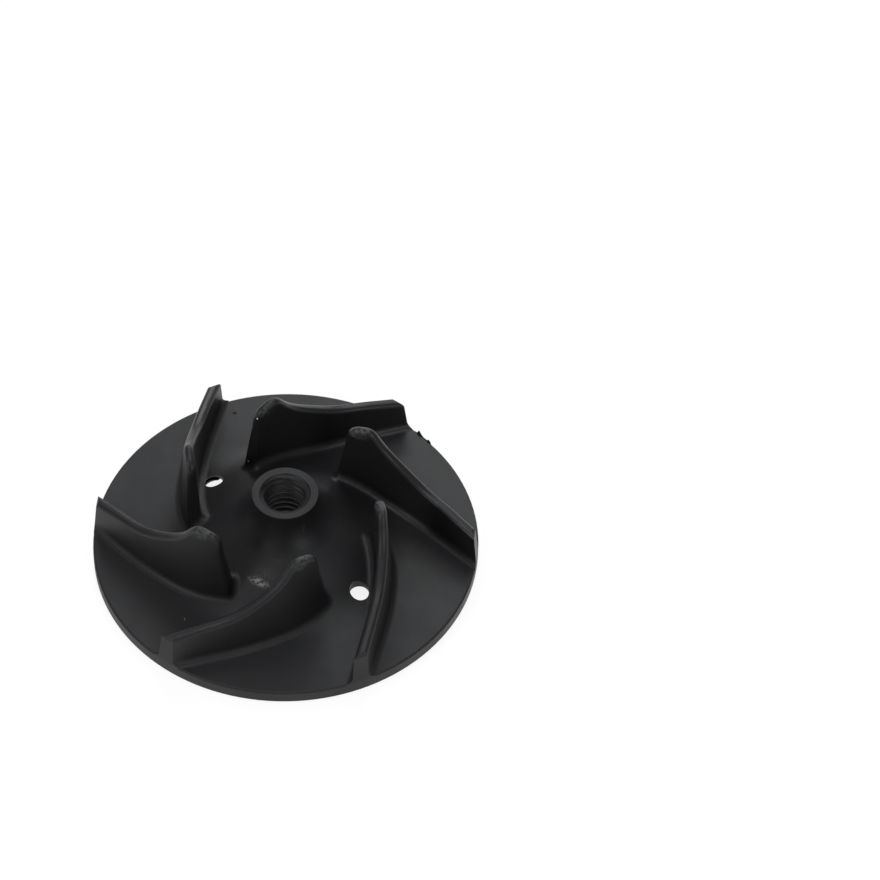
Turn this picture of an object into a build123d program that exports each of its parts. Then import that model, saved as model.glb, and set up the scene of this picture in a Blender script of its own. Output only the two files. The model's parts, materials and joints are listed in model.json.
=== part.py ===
from build123d import *
import os
from math import sin, cos, tan, atan2, radians

os.makedirs("parts", exist_ok=True)

# Driving sizes in mm; the bore runs along Z and the vanes stand up towards +Z
disc_r = 32.0
rim_thick = 2.35
rim_top_round = 0.35
rim_edge_round = 0.3

# Cone and hub on the vane side
cone_foot_r = 18.4
cone_rise = 7.36
cone_foot_round = 12.0
hub_top_r = 5.45
hub_foot_r = 5.65
hub_height = 12.0
trumpet_round = 6.5

# Back of the disc: a shallow dish round a flat boss
dish_r = 23.0
dish_depth = 2.6
boss_r = 10.0
boss_proud = 1.05

# Bore: a plain seat for the shaft shoulder, then the threaded length
seat_r = 5.0
seat_depth = 3.0
thread_r = 4.0
mouth_chamfer = 0.25

# Two holes through the cone
hole_r = 1.6
hole_pitch_r = 16.9
hole_azimuth = 134.6
hole_flare_r = 2.0
hole_back_z = 2.05

# Vanes: count, azimuth at 0.7 of the disc radius, angle from the tangent at 0.4, 0.7 and 1.0 of it
vane_count = 6
vane_mid_azimuth = 191.6
angle_inner = 20.0
angle_middle = 36.8
angle_rim = 54.0
vane_half = 0.92
vane_offset = 0.10
nose_thin = 0.4
draft_convex = 3.6
draft_concave = 1.0
vane_foot_round = 1.2
vane_inner_r = 11.6
vane_top_round = 0.72
end_lean = 5.0
end_round = 0.9
nose_mean_r = 15.6
nose_drop = 2.45
nose_lean = 9.5

# Vane top above the disc face: height at the rim, straight rise inwards, then a curve up to the crest,
# which lies a run outwards from the nose
top_at_rim = 5.75
top_rise = 0.22
curve_from_r = 24.4
curve_rise = 0.134
crest_run = 4.1

# Spare stock past the rim while the vanes are blended in
spare = 2.5

# Revolved body, cut to size after the vanes are blended in
hub_top = rim_thick + hub_height
tube_turn = atan2(cone_foot_r - hub_foot_r, cone_rise)
trumpet = min(trumpet_round, 0.9 * (hub_height - cone_rise) / tan(tube_turn / 2))
front = Polyline((disc_r + spare, rim_thick), (cone_foot_r, rim_thick),
                 (hub_foot_r, rim_thick + cone_rise), (hub_top_r, hub_top))
front = fillet(front.vertices().sort_by(Axis.X)[-2], cone_foot_round)
tube_corner = front.vertices().sort_by_distance((hub_foot_r, rim_thick + cone_rise, 0))[0]
front = fillet(tube_corner, trumpet)
core = Polyline((hub_top_r, hub_top), (0, hub_top), (0, 0), (disc_r + spare, 0), (disc_r + spare, rim_thick))
body = revolve(Plane.XZ * make_face(front.edges() + core.edges()), Axis.Z)


# Vane angle at a radius, through the three given values
def vane_angle(r):
    a = r / disc_r
    low = angle_inner * (a - 0.7) * (a - 1.0) / 0.18
    mid = angle_middle * (a - 0.4) * (a - 1.0) / -0.09
    top = angle_rim * (a - 0.4) * (a - 0.7) / 0.18
    return radians(low + mid + top)


# Azimuth of the mean line, summed inwards or outwards from its middle radius
mid_r = 0.7 * disc_r


def vane_azimuth(r):
    steps = 200
    step = (r - mid_r) / steps
    turn = radians(vane_mid_azimuth)
    for i in range(steps):
        at = mid_r + (i + 0.5) * step
        turn -= step / (at * tan(vane_angle(at)))
    return turn


# A point beside the mean line: positive is the convex side
def beside(r, off, z):
    t = vane_azimuth(r)
    b = vane_angle(r)
    nx = cos(b) * cos(t) - sin(b) * sin(t)
    ny = cos(b) * sin(t) + sin(b) * cos(t)
    return (r * cos(t) + off * nx, r * sin(t) + off * ny, z)


# Radius of the crest, from the nose along the mean line
outward_share = sin(vane_angle(nose_mean_r))
crest_r = nose_mean_r + crest_run * outward_share


# Vane top height above the disc face at a radius
def top_height(r):
    at = max(r, crest_r)
    return top_at_rim + top_rise * (disc_r - at) + curve_rise * max(0, curve_from_r - at) ** 2


crest = top_height(crest_r)

# Radii at which the plan outline is worked out, closer together near the hub where it turns most
plan_end_r = disc_r + spare + 0.6
stations = [vane_inner_r + (plan_end_r - vane_inner_r) * (k / 9) ** 1.25 for k in range(10)]


# Plan outline of a vane at a height: both sides draft outwards from the top edges down, and the convex
# side comes in towards the nose
def vane_outline(h, margin=0):
    convex = []
    concave = []
    for r in stations:
        depth = top_height(r) - h
        half = vane_half + margin
        thin = nose_thin * max(0, mid_r - r) / (mid_r - nose_mean_r)
        convex.append(beside(r, vane_offset + half - thin + depth * tan(radians(draft_convex)), rim_thick + h))
        concave.append(beside(r, vane_offset - half - depth * tan(radians(draft_concave)), rim_thick + h))
    sides = [Spline(*convex), Spline(*concave)]
    ends = [Line(sides[0] @ 0, sides[1] @ 0), Line(sides[0] @ 1, sides[1] @ 1)]
    return make_face(sides[0].edges() + sides[1].edges() + ends[0].edges() + ends[1].edges())


vane = loft([vane_outline(-1.3), vane_outline(crest + 1)], ruled=True)

# Side view of a vane: crown line, rounded nose and leading edge, drawn along the inner end
t = vane_azimuth(nose_mean_r)
b = vane_angle(nose_mean_r)
outwards = Vector(sin(b) * cos(t) + cos(b) * sin(t), sin(b) * sin(t) - cos(b) * cos(t), 0)
nose_at = Vector(*beside(nose_mean_r, 0, rim_thick))
lean = radians(nose_lean)


def along(r):
    return (Vector(*beside(r, 0, rim_thick)) - nose_at).dot(outwards)


nose_height = crest - nose_drop
crest_foot_r = nose_mean_r + 1.65 * crest_run * outward_share
crown_radii = [disc_r + spare + 0.1] + [disc_r + (crest_foot_r - disc_r) * k / 5 for k in range(6)]
crown = [(along(r), top_height(r)) for r in crown_radii]
run = along(crest_r)
crown.append((run, crest))
nose = [(run * (1 - cos(radians(a))), nose_height + nose_drop * sin(radians(a))) for a in (66, 42, 18)]
below = [0.11 * nose_height, 0.38 * nose_height, 0.75 * nose_height, nose_height + 2]
edge = [(-drop * tan(lean), nose_height - drop) for drop in below]
edge_way = (-sin(lean), -cos(lean))
outline = Spline(*(crown + nose + edge), tangents=((-1, 0.2), edge_way))
closing = Polyline(outline @ 1, (crown[0][0], -2), outline @ 0)
side_view = Plane(origin=nose_at, x_dir=outwards, z_dir=outwards.cross(Vector(0, 0, 1)))
vane &= extrude(side_view * make_face(outline.edges() + closing.edges()), disc_r, both=True)
vane = max(vane.solids(), key=lambda s: s.volume)

# Round both long edges of the crown, nose and leading edge
crown_face = max(vane.faces(), key=lambda f: f.area if f.geom_type == GeomType.EXTRUSION else 0)
long_edges = crown_face.edges().sort_by(SortBy.LENGTH)[-2:]
vane = fillet(long_edges, vane_top_round)

# Six vanes on the body, with both trimmed to one oversize rim
blank = body
for i in range(vane_count):
    blank += vane.rotate(Axis.Z, i * 360 / vane_count)
trim_r = disc_r + 0.8 * spare
blank &= Cylinder(trim_r, 4 * hub_top)

# Blend every vane foot into the disc, cone and hub
feet = []
for e in blank.edges():
    ends = [e @ 0.3, e @ 0.7]
    radii = [(q.X ** 2 + q.Y ** 2) ** 0.5 for q in ends]
    inside = all(9 < r < trim_r - 0.05 for r in radii)
    above = all(q.Z > rim_thick - 0.01 for q in ends)
    if inside and above and e.geom_type != GeomType.CIRCLE:
        if max(body.distance_to(Vertex(*q)) for q in ends) < 0.002:
            feet.append(e)
blank = fillet(feet, vane_foot_round)

# Trim to the rim; above the disc the vane ends lean inwards and turn over into the crown
end_r = disc_r - top_at_rim * tan(radians(end_lean))
top_z = rim_thick + top_height(end_r - end_round) + 0.01
trim = Polyline((0, -1), (disc_r, -1), (disc_r, rim_thick), (end_r, top_z - end_round))
turn_over = ThreePointArc((end_r, top_z - end_round), (end_r - 0.29 * end_round, top_z - 0.29 * end_round),
                          (end_r - end_round, top_z))
cover = Polyline(turn_over @ 1, (0, top_z + end_r), (0, -1))
impeller = blank & revolve(Plane.XZ * make_face(trim.edges() + turn_over.edges() + cover.edges()), Axis.Z)

# Round the rim's top edge between the vane feet
corner = (disc_r - rim_top_round, rim_thick)
rim_arc = CenterArc((disc_r - rim_top_round, rim_thick - rim_top_round), rim_top_round, 0, 90)
rim_stock = Polyline((disc_r, rim_thick - rim_top_round), (trim_r, rim_thick - rim_top_round), (trim_r, rim_thick + 0.1),
                     (disc_r - rim_top_round, rim_thick + 0.1), corner)
rim_cut = revolve(Plane.XZ * make_face(rim_arc.edges() + rim_stock.edges()), Axis.Z)
foot_zone = extrude(vane_outline(0, 0.7 * vane_foot_round), rim_thick, both=True)
for i in range(vane_count):
    rim_cut -= foot_zone.rotate(Axis.Z, i * 360 / vane_count)
impeller -= rim_cut

# Hollow the back round the boss
boss_face = dish_depth - boss_proud
dish = Spline((dish_r, 0), (0.5 * (dish_r + boss_r), 0.80 * dish_depth), (boss_r, dish_depth),
              tangents=((-1, 0.02), (-1, 0.03)))
hollow = Polyline((boss_r, dish_depth), (boss_r, boss_face), (0, boss_face), (0, 0), (dish_r, 0))
impeller -= revolve(Plane.XZ * make_face(dish.edges() + hollow.edges()), Axis.Z)

# Shaft seat, threaded bore and the chamfer at its mouth
impeller -= Pos(0, 0, boss_face + seat_depth / 2) * Cylinder(seat_r, seat_depth)
impeller -= Pos(0, 0, hub_top / 2) * Cylinder(thread_r, hub_top)
impeller -= Pos(0, 0, hub_top - mouth_chamfer / 2) * Cone(thread_r, thread_r + mouth_chamfer, mouth_chamfer)

# Two holes through the cone, opened out at the back
for turn in (hole_azimuth, hole_azimuth + 180):
    x = hole_pitch_r * cos(radians(turn))
    y = hole_pitch_r * sin(radians(turn))
    flare = hole_flare_r - hole_r
    impeller -= Pos(x, y, 5) * Cylinder(hole_r, 10)
    impeller -= Pos(x, y, hole_back_z) * Cone(hole_flare_r + flare, hole_r, 2 * flare)

# Break the back edge of the rim
back_edge = [e for e in impeller.edges() if e.geom_type == GeomType.CIRCLE and abs((e @ 0.5).Z) < 0.01 and e.length > 5 * disc_r]
impeller = fillet(back_edge, rim_edge_round)
export_step(impeller, "parts/impeller.step")
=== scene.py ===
# Pump impeller moulded in black plastic, lying on its back with the vanes up
import json
import math

import bpy
from mathutils import Matrix, Vector, noise


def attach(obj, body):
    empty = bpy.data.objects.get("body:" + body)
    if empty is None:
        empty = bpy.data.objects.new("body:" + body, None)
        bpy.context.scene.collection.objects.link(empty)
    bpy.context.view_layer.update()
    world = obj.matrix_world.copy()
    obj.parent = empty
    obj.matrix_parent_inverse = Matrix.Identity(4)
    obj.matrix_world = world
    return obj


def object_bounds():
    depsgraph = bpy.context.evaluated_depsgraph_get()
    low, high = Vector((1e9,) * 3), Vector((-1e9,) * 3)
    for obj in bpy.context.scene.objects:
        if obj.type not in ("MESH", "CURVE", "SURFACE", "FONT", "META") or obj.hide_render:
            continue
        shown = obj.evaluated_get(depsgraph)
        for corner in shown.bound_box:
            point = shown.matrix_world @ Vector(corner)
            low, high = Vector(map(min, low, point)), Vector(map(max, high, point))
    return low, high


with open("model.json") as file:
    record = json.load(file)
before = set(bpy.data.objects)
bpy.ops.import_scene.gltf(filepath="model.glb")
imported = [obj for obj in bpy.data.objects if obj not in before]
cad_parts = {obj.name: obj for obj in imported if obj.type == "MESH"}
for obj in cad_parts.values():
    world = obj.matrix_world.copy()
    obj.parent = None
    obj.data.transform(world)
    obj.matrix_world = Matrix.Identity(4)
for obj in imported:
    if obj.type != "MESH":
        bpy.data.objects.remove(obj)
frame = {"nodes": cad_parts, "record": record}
cad_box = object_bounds()

# The camera looks down on the vanes from the front through a long lens, with the wheel to the left
# of the picture and below its middle, as in the photograph.
FRAME_SIZE = 880
DISC_FACE_CENTRE_PX = (286.0, 538.97)
PX_PER_METRE = 6011
VIEW_DISTANCE = 0.7072
VIEW_ELEVATION = math.radians(51.15)
VIEW_ROLL = math.radians(-1.15)
SENSOR_MM = 36.0
SEEN_FROM, SEEN_TO = 0.01, 20
RIM_THICK = 0.00235
disc_face = Vector((0, 0, RIM_THICK))

forward = Vector((0, math.cos(VIEW_ELEVATION), -math.sin(VIEW_ELEVATION)))
level_up = Vector((0, math.sin(VIEW_ELEVATION), math.cos(VIEW_ELEVATION)))
level_right = Vector((1, 0, 0))
right = level_right * math.cos(VIEW_ROLL) + level_up * math.sin(VIEW_ROLL)
up = level_up * math.cos(VIEW_ROLL) - level_right * math.sin(VIEW_ROLL)
focal_px = PX_PER_METRE * VIEW_DISTANCE


def sight(px):
    return Vector((px[0] - FRAME_SIZE / 2, FRAME_SIZE / 2 - px[1], -focal_px))


swing = sight(DISC_FACE_CENTRE_PX).normalized().rotation_difference(Vector((0, 0, -1))).to_matrix()
stand = (Matrix((right, up, -forward)).transposed() @ swing).to_4x4()
stand.translation = disc_face - forward * VIEW_DISTANCE

lens = bpy.data.cameras.new("long_lens")
lens.sensor_width = SENSOR_MM
lens.lens = focal_px / FRAME_SIZE * SENSOR_MM
lens.clip_start = SEEN_FROM
lens.clip_end = SEEN_TO
camera = bpy.data.objects.new("camera", lens)
camera.matrix_world = stand
bpy.context.collection.objects.link(camera)
bpy.context.scene.camera = camera

# The impeller is one moulding in satin black plastic, finely grained and a little uneven in gloss.
# Its vane tops are worn smoother and their noses scuffed grey. The colour is painted paler deeper in
# the bore, painted light that lifts the shade there. Three scratches and a pit are left from handling;
# two white glints on a vane's edge, a speckled highlight and a soft sheen on the hub's foot are painted.
PLASTIC_BLACK = (0.0115, 0.0116, 0.0128, 1)
CLOUD_PALER = 1.25
# Painted light: the paler grey that lifts the shade deep in the bore.
BORE_PAINTED_LIGHT_GREY = (0.125, 0.125, 0.122, 1)
SCUFF_GREY = (0.105, 0.107, 0.107, 1)
SCRATCH_GREY = (0.24, 0.24, 0.24, 1)
# Near-white of two painted glints, painted highlights on a vane's edge.
PAINTED_GLINT_GREY = (0.80, 0.80, 0.78, 1)
# Pale grey of the speckled painted highlight and the painted sheen on the hub's foot.
PAINTED_HIGHLIGHT_GREY = (0.27, 0.27, 0.26, 1)
PIT_BLACK = (0.002, 0.002, 0.002, 1)

SATIN = 0.45
CROWN_SATIN = 0.38
SATIN_VARIES = 0.035
SATIN_FALLS_ALONG = (-0.6, -0.8, 0.0)
SATIN_FALL = (-0.030, 0.030, -0.04, 0.09)
PLASTIC_IOR = 1.4

GRAIN_SCALE = 3200
CHATTER_SCALE = 2100
MOTTLE_SCALE = 170
CLOUD_SCALE = 28
PATCHES = (0.3, 0.7)
SCUFF_STREAKS = (0.42, 0.62, 0.15, 1.0)
# Streak shares of the speckled painted highlight and of the painted sheen on the hub's foot.
PAINTED_HIGHLIGHT_STREAKS = (0.38, 0.56, 0.0, 1.0)
SHEEN_STREAKS = (0.35, 0.65, 0.02, 0.11)
RELIEF_HEIGHT = 0.00002

VANES = 6
NOSE_FROM_R, NOSE_TO_R = 0.012, 0.022
NOSE_ABOVE = 0.0171
NOSE_MIDDLE = 0.3
NOSE_LENGTH = 0.9
NOSE_WIDTH = 0.0016
nose_wear = (0.75, 0.35, 0.15, 0.9, 1.0, 1.0)

CROWN_FACES_UP = (0.10, 0.35)
CROWN_ABOVE = (0.0062, 0.0070)
CROWN_OUTSIDE = (0.0120, 0.0135)
# The bore zone is rougher, and its colour is painted paler deeper down, painted light against the shade there.
BORE_INSIDE = (0.00405, 0.00435)
BORE_BELOW = (0.0030, 0.0130)
HUB_RING_ABOVE = (0.01410, 0.01430)
HUB_RING_INSIDE = (0.0056, 0.0062)
HUB_RING_PITCH = 0.00042

SCRATCHES_PX = (((184.4, 617.5), (184.6, 620.5)), ((213.6, 624.5), (213.4, 632.0)),
                ((304.6, 523.0), (303.2, 533.5)))
SCRATCH_WIDTH = 0.00007
# Two painted glints: white spots painted into the colour on a vane's edge, standing in for highlights.
PAINTED_GLINTS_PX = ((257.2, 418.8), (248.3, 461.0))
PAINTED_GLINT_REACH = (0.00018, 0.00018, 0.00022)
PIT_PX = (234.6, 413.4)
PIT_REACH = (0.00042, 0.00032, 0.0003)
# A speckled painted highlight and, round it, a soft painted sheen on the hub's foot; the sheen spot is also
# smoother and chattered.
PAINTED_HIGHLIGHT_PX = ((252.0, 579.0), (259.0, 582.0), (264.5, 584.3))
PAINTED_HIGHLIGHT_REACH = (0.0025, 0.0009, 0.0009)
SHEEN_PX = (262.5, 577.5)
SHEEN_REACH = (0.0034, 0.0026, 0.0026)

body = frame["nodes"]["impeller"]
eye = camera.matrix_world.translation


def point_under(px):
    way = (camera.matrix_world.to_3x3() @ sight(px)).normalized()
    hit, where, _, _ = body.ray_cast(eye, way)
    return where if hit else disc_face.copy()


def nose_points():
    noses = {}
    for v in body.data.vertices:
        r = math.hypot(v.co.x, v.co.y)
        if NOSE_FROM_R < r < NOSE_TO_R and v.co.z > NOSE_ABOVE:
            turn = math.degrees(math.atan2(v.co.y, v.co.x)) % 360
            noses.setdefault(int(turn / (360 / VANES)), []).append((r, v.co.copy()))
    return {k: (min(crest, key=lambda p: p[0])[1], max(crest, key=lambda p: p[0])[1])
            for k, crest in noses.items()}


plastic = bpy.data.materials.new("black_moulded_plastic")
plastic.use_nodes = True
nodes = plastic.node_tree.nodes
links = plastic.node_tree.links
skin = nodes["Principled BSDF"]
place = nodes.new("ShaderNodeTexCoord").outputs["Object"]


def noise_field(scale, detail, roughness=0.5):
    field = nodes.new("ShaderNodeTexNoise")
    field.inputs["Scale"].default_value = scale
    field.inputs["Detail"].default_value = detail
    field.inputs["Roughness"].default_value = roughness
    links.new(place, field.inputs["Vector"])
    return field.outputs["Fac"]


def remap(value, low, high, to_low, to_high):
    fit = nodes.new("ShaderNodeMapRange")
    fit.interpolation_type = "SMOOTHSTEP"
    for name, number in zip(("From Min", "From Max", "To Min", "To Max"), (low, high, to_low, to_high)):
        fit.inputs[name].default_value = number
    links.new(value, fit.inputs["Value"])
    return fit.outputs["Result"]


def beyond(value, span):
    return remap(value, *span, 0.0, 1.0)


def within(value, span):
    return remap(value, *span, 1.0, 0.0)


def combine(kind, a, b=0):
    op = nodes.new("ShaderNodeMath")
    op.operation = kind
    for socket, value in zip(op.inputs, (a, b)):
        if isinstance(value, (int, float)):
            socket.default_value = value
        else:
            links.new(value, socket)
    return op.outputs[0]


def times(a, b):
    return combine("MULTIPLY", a, b)


def plus(a, b):
    return combine("ADD", a, b)


def together(marks):
    joined = marks[0]
    for one in marks[1:]:
        joined = combine("MAXIMUM", joined, one)
    return joined


def mark(centre, reach, along=Vector((1, 0, 0)), edge=0.35):
    spot = nodes.new("ShaderNodeMapping")
    spot.vector_type = "TEXTURE"
    spot.inputs["Location"].default_value = centre
    spot.inputs["Rotation"].default_value = along.to_track_quat("X", "Z").to_euler()
    spot.inputs["Scale"].default_value = reach
    links.new(place, spot.inputs["Vector"])
    far = nodes.new("ShaderNodeVectorMath")
    far.operation = "LENGTH"
    links.new(spot.outputs["Vector"], far.inputs[0])
    return within(far.outputs["Value"], (edge, 1.0))


def mix_colour(share, a, b):
    blend = nodes.new("ShaderNodeMix")
    blend.data_type = "RGBA"
    for socket, value in ((blend.inputs["A"], a), (blend.inputs["B"], b)):
        if isinstance(value, tuple):
            socket.default_value = value
        else:
            links.new(value, socket)
    links.new(share, blend.inputs["Factor"])
    return [s for s in blend.outputs if s.type == "RGBA"][0]


grain = noise_field(GRAIN_SCALE, 3.0)
mottle = noise_field(MOTTLE_SCALE, 3.0)
cloud = noise_field(CLOUD_SCALE, 2.0)
chatter = noise_field(CHATTER_SCALE, 2.0, 0.6)

tips = []
for sector, (inner, outer) in sorted(nose_points().items()):
    crest = outer - inner
    tip = mark(inner.lerp(outer, NOSE_MIDDLE), (crest.length * NOSE_LENGTH, NOSE_WIDTH, NOSE_WIDTH), crest)
    tips.append(times(tip, nose_wear[sector % VANES]))
worn = together(tips)
scuff = times(worn, remap(chatter, *SCUFF_STREAKS))

lines = []
for start_px, end_px in SCRATCHES_PX:
    start, end = point_under(start_px), point_under(end_px)
    half = (end - start) / 2
    lines.append(mark(start + half, (half.length, SCRATCH_WIDTH, SCRATCH_WIDTH), half, 0.5))
scratches = together(lines)
# Painted highlights: two small white glints on a vane's edge.
painted_glints = together([mark(point_under(px), PAINTED_GLINT_REACH, edge=0.4) for px in PAINTED_GLINTS_PX])
pit = mark(point_under(PIT_PX), PIT_REACH, edge=0.2)
# Painted highlight: a speckled streak painted into the colour on the hub's foot.
highlight_from, highlight_middle, highlight_to = (point_under(px) for px in PAINTED_HIGHLIGHT_PX)
painted_highlight = mark(highlight_middle, PAINTED_HIGHLIGHT_REACH, highlight_to - highlight_from, 0.1)
# Painted sheen on the hub's foot, which is also made smoother and chattered there.
sheen = mark(point_under(SHEEN_PX), SHEEN_REACH, edge=0.0)

axes = nodes.new("ShaderNodeSeparateXYZ")
links.new(place, axes.inputs["Vector"])
x, y, z = (axes.outputs[name] for name in "XYZ")
off_axis = combine("SQRT", plus(times(x, x), times(y, y)))
facing = nodes.new("ShaderNodeSeparateXYZ")
links.new(nodes.new("ShaderNodeTexCoord").outputs["Normal"], facing.inputs["Vector"])
crown = times(beyond(facing.outputs["Z"], CROWN_FACES_UP),
              times(beyond(z, CROWN_ABOVE), beyond(off_axis, CROWN_OUTSIDE)))
# Bore zone, strongest deepest down: rougher, and painted paler to lift the shade in the bore.
in_bore = times(within(off_axis, BORE_INSIDE), within(z, BORE_BELOW))
hub_ring = times(beyond(z, HUB_RING_ABOVE), within(off_axis, HUB_RING_INSIDE))
ring_lines = combine("SINE", times(off_axis, 2 * math.pi / HUB_RING_PITCH))

paler_black = tuple(c * CLOUD_PALER for c in PLASTIC_BLACK[:3]) + (1,)
colour = mix_colour(beyond(cloud, PATCHES), PLASTIC_BLACK, paler_black)
# Painted light: the colour turns paler deeper in the bore, lifting the shade there.
# Two white painted glints on a vane's edge are mixed into the colour here.
for share, paint in ((in_bore, BORE_PAINTED_LIGHT_GREY), (scuff, SCUFF_GREY), (scratches, SCRATCH_GREY), (painted_glints, PAINTED_GLINT_GREY),
                     # A speckled painted highlight on the hub's foot.
                     (times(painted_highlight, remap(chatter, *PAINTED_HIGHLIGHT_STREAKS)), PAINTED_HIGHLIGHT_GREY),
                     # A soft painted sheen round it, in the same grey.
                     (times(sheen, remap(chatter, *SHEEN_STREAKS)), PAINTED_HIGHLIGHT_GREY), (pit, PIT_BLACK)):
    colour = mix_colour(share, colour, paint)
links.new(colour, skin.inputs["Base Color"])

fall = nodes.new("ShaderNodeVectorMath")
fall.operation = "DOT_PRODUCT"
fall.inputs[1].default_value = SATIN_FALLS_ALONG
links.new(place, fall.inputs[0])
satin = plus(remap(mottle, *PATCHES, -SATIN_VARIES, SATIN_VARIES), SATIN)
satin = plus(satin, remap(fall.outputs["Value"], *SATIN_FALL))
for zone, duller in ((scuff, 0.22), (sheen, -0.10), (crown, CROWN_SATIN - SATIN), (hub_ring, 0.07),
                     (in_bore, 0.16)):
    satin = plus(satin, times(zone, duller))
links.new(satin, skin.inputs["Roughness"])

height = times(grain, 0.8)
for texture, deep in ((mottle, 1.2), (times(chatter, worn), 2.5), (times(chatter, sheen), 2.0), (pit, -8.0),
                      (times(ring_lines, hub_ring), 0.55)):
    height = plus(height, times(texture, deep))
relief = nodes.new("ShaderNodeBump")
relief.inputs["Strength"].default_value = 1.0
relief.inputs["Distance"].default_value = RELIEF_HEIGHT
links.new(height, relief.inputs["Height"])
links.new(relief.outputs["Normal"], skin.inputs["Normal"])
skin.inputs["IOR"].default_value = PLASTIC_IOR

body.data.materials.clear()
body.data.materials.append(plastic)

# The thread is moulded in the hub's own plastic: a coarse right-hand thread of 1.25 mm pitch, a soft
# ridge that winds up the plain bore from the seat and is cut off by the countersink at the mouth.
PITCH = 0.00125
RIDGE_DEPTH = 0.00064
RIDGE_ROOT = 0.00003
STEPS_PER_TURN = 96
FADE_TURNS = 0.35
FADED_WIDTH = 0.3
RUN_OUT_TURNS = 0.8
COUNTERSINK = 0.6
ridge_profile = ((-0.49, -1), (-0.45, 0.05), (-0.31, 0.58), (-0.16, 0.91), (0.0, 1.0), (0.16, 0.91),
                 (0.31, 0.58), (0.45, 0.05), (0.49, -1))
thread = next(m for m in frame["record"]["mounts"] if m["name"] == "shaft_thread")
bore_r = thread["dims"]["r_mm"] / 1000
thread_length = thread["dims"]["length_mm"] / 1000
thread_foot = thread["pos_m"][2] - thread_length / 2 + PITCH / 2
thread_top = thread["pos_m"][2] + thread_length / 2
turns = (thread_length - PITCH) / PITCH + RUN_OUT_TURNS
steps = int(turns * STEPS_PER_TURN)
width = len(ridge_profile)

thread_points = []
for i in range(steps + 1):
    along = i / STEPS_PER_TURN
    fade = min(1.0, along / FADE_TURNS, (turns - along) / FADE_TURNS)
    fade = max(0.0, fade) ** 0.5
    angle = 2 * math.pi * along
    for across, rise in ridge_profile:
        depth = -RIDGE_ROOT if rise < 0 else RIDGE_DEPTH * rise * fade
        r = bore_r - depth
        level = thread_foot + PITCH * (along + across * (FADED_WIDTH + (1 - FADED_WIDTH) * fade))
        level = min(level, thread_top - COUNTERSINK * max(depth, 0))
        thread_points.append((r * math.cos(angle), r * math.sin(angle), level))
thread_faces = []
for i in range(steps):
    for k in range(width):
        a = i * width + k
        b = i * width + (k + 1) % width
        thread_faces.append((a, b, b + width, a + width))
thread_faces.append(tuple(range(width))[::-1])
thread_faces.append(tuple(steps * width + k for k in range(width)))
ridge_mesh = bpy.data.meshes.new("thread_ridge")
ridge_mesh.from_pydata(thread_points, [], thread_faces)
ridge_mesh.validate()
ridge_mesh.shade_smooth()
ridge_mesh.materials.append(plastic)
ridge = bpy.data.objects.new("thread_ridge", ridge_mesh)
bpy.context.collection.objects.link(ridge)
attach(ridge, "root")

# A strip of flash was torn off the rim beside one vane's outer end. It leaves a thin ragged edge of
# the same plastic with two short spikes.
FLASH_FROM_PX = (409.0, 428.0)
FLASH_TO_PX = (430.0, 444.0)
FLASH_THICK = 0.00016
FLASH_PROUD = 0.00005
FLASH_ROOT = 0.0003
FLASH_FOOT = 0.0007
FLASH_SUNK = 0.0001
FLASH_LEANS = 0.0002
FLASH_WAVES = 0.00005
flash_rise_mm = (0.01, 0.01, 0.02, 0.02, 0.04, 0.08, 0.80, 0.52, 0.24, 0.10, 0.06, 0.05, 0.10, 0.40, 0.26, 0.02)
flash_last = len(flash_rise_mm) - 1
rim_r = cad_box[1].x


def rim_azimuth(px):
    way = camera.matrix_world.to_3x3() @ sight(px)
    on_face = eye + way * ((RIM_THICK - eye.z) / way.z)
    return math.atan2(on_face.y, on_face.x)


flash_from = rim_azimuth(FLASH_FROM_PX)
flash_to = rim_azimuth(FLASH_TO_PX)
flash_points = []
for i, rise in enumerate(flash_rise_mm):
    turn = flash_from + (flash_to - flash_from) * i / flash_last
    edge_r = rim_r + FLASH_LEANS * rise + FLASH_WAVES * noise.noise(Vector((i * 0.9, 3.1, 0.0)))
    foot = RIM_THICK - FLASH_FOOT
    top = RIM_THICK - FLASH_SUNK + rise / 1000
    for r, level in ((rim_r - FLASH_ROOT, foot), (rim_r + FLASH_PROUD, foot), (edge_r, top),
                     (edge_r - FLASH_THICK, top)):
        flash_points.append((r * math.cos(turn), r * math.sin(turn), level))
flash_faces = []
for i in range(flash_last):
    for k in range(4):
        a = 4 * i + k
        b = 4 * i + (k + 1) % 4
        flash_faces.append((a, a + 4, b + 4, b))
flash_faces.append((0, 1, 2, 3))
flash_faces.append(tuple(4 * flash_last + k for k in (3, 2, 1, 0)))
flash_mesh = bpy.data.meshes.new("torn_flash")
flash_mesh.from_pydata(flash_points, [], flash_faces)
flash_mesh.validate()
flash_mesh.materials.append(plastic)
flash = bpy.data.objects.new("torn_flash", flash_mesh)
bpy.context.collection.objects.link(flash)
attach(flash, "root")

# The floor is a plain white sheet. The camera and reflections see it near white, and the soft shadow
# of the wheel still shows on it.
FLOOR_RADIUS = 3.0
FLOOR_BELOW = 0.00004
FLOOR_GLOW = 0.86
FLOOR_LIT = 0.25
PAPER_WHITE = (0.78, 0.78, 0.78, 1)
PAPER_DULL = 0.9
PURE_WHITE = (1, 1, 1, 1)
floor_mesh = bpy.data.meshes.new("floor")
floor_turns = [math.radians(a) for a in range(0, 360, 5)]
floor_edge = [(FLOOR_RADIUS * math.cos(a), FLOOR_RADIUS * math.sin(a), -FLOOR_BELOW) for a in floor_turns]
floor_mesh.from_pydata(floor_edge, [], [tuple(range(len(floor_edge)))])
floor = bpy.data.objects.new("floor", floor_mesh)
bpy.context.collection.objects.link(floor)

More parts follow.
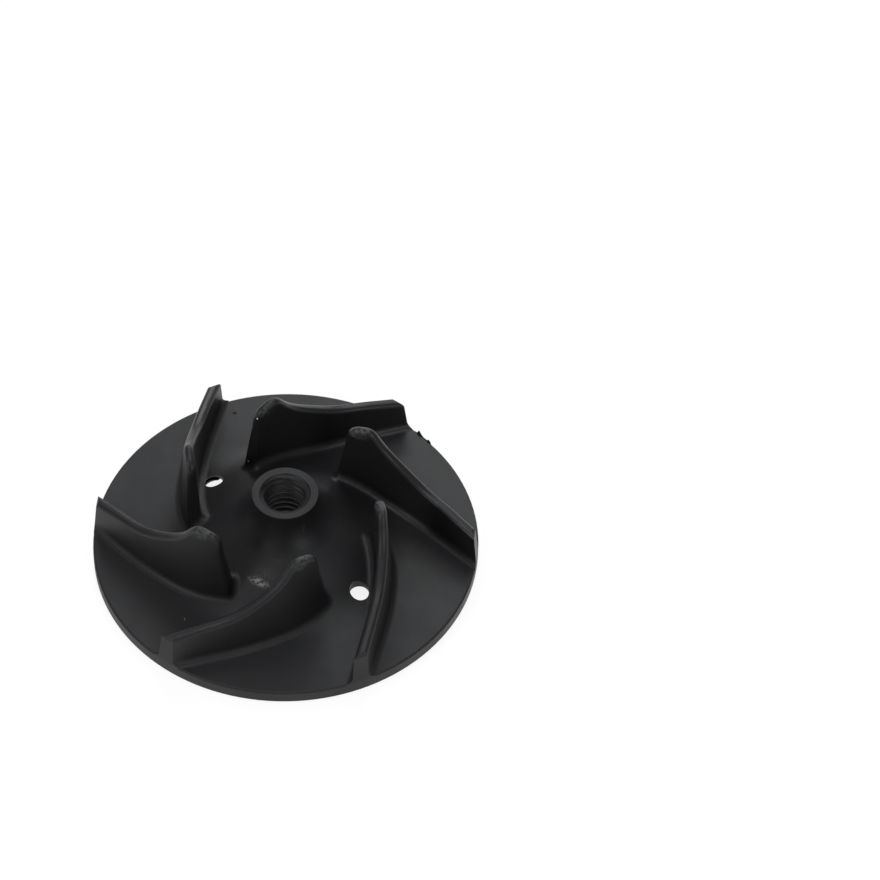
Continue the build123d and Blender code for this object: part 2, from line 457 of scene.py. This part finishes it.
white_sheet = bpy.data.materials.new("white_sheet")
white_sheet.use_nodes = True
sheet = white_sheet.node_tree
paper = sheet.nodes["Principled BSDF"]
paper.inputs["Base Color"].default_value = PAPER_WHITE
paper.inputs["Roughness"].default_value = PAPER_DULL
paper.inputs["Specular IOR Level"].default_value = 0.0
glow = sheet.nodes.new("ShaderNodeEmission")
glow.inputs["Color"].default_value = PURE_WHITE
glow.inputs["Strength"].default_value = FLOOR_GLOW
lit_part = sheet.nodes.new("ShaderNodeMixShader")
lit_part.inputs["Fac"].default_value = FLOOR_LIT
sheet.links.new(paper.outputs["BSDF"], lit_part.inputs[2])
both = sheet.nodes.new("ShaderNodeAddShader")
sheet.links.new(lit_part.outputs["Shader"], both.inputs[0])
sheet.links.new(glow.outputs["Emission"], both.inputs[1])
path = sheet.nodes.new("ShaderNodeLightPath")
seen = path.outputs["Is Camera Ray"]
for ray in ("Is Glossy Ray", "Is Transmission Ray"):
    either = sheet.nodes.new("ShaderNodeMath")
    either.operation = "MAXIMUM"
    sheet.links.new(seen, either.inputs[0])
    sheet.links.new(path.outputs[ray], either.inputs[1])
    seen = either.outputs[0]
choice = sheet.nodes.new("ShaderNodeMixShader")
sheet.links.new(seen, choice.inputs["Fac"])
sheet.links.new(paper.outputs["BSDF"], choice.inputs[1])
sheet.links.new(both.outputs["Shader"], choice.inputs[2])
sheet.links.new(choice.outputs["Shader"], sheet.nodes["Material Output"].inputs["Surface"])
floor_mesh.materials.append(white_sheet)

# Soft studio light from six square softboxes about a metre off: two behind that sheen the disc, one
# low behind that edges the vanes, one overhead and one to each side in front, in a dim grey room.
ROOM_GREY = 0.21
SOFTBOX_SIZE = 0.42
SOFTBOX_TINT = (0.97, 0.985, 1.0)
softboxes = (("back_softbox", (0.0, 0.92, 0.60), 2.50), ("high_back_softbox", (0.20, 0.62, 0.89), 1.15),
             ("low_back_softbox", (0.54, 0.93, 0.23), 1.05), ("overhead_softbox", (0.0, 0.0, 1.10), 3.0),
             ("left_softbox", (-0.80, -0.46, 0.60), 2.70), ("right_softbox", (0.46, -0.80, 0.60), 1.95))
for name, stands_at, watts in softboxes:
    lamp = bpy.data.lights.new(name, "AREA")
    lamp.shape = "SQUARE"
    lamp.size = SOFTBOX_SIZE
    lamp.energy = watts
    lamp.color = SOFTBOX_TINT
    softbox = bpy.data.objects.new(name, lamp)
    softbox.location = stands_at
    softbox.rotation_euler = (disc_face - Vector(stands_at)).to_track_quat("-Z", "Y").to_euler()
    bpy.context.collection.objects.link(softbox)
room = bpy.data.worlds.new("grey_room")
room.use_nodes = True
room.node_tree.nodes["Background"].inputs["Color"].default_value = PURE_WHITE
room.node_tree.nodes["Background"].inputs["Strength"].default_value = ROOM_GREY
bpy.context.scene.world = room
bpy.context.scene.view_settings.view_transform = "Standard"
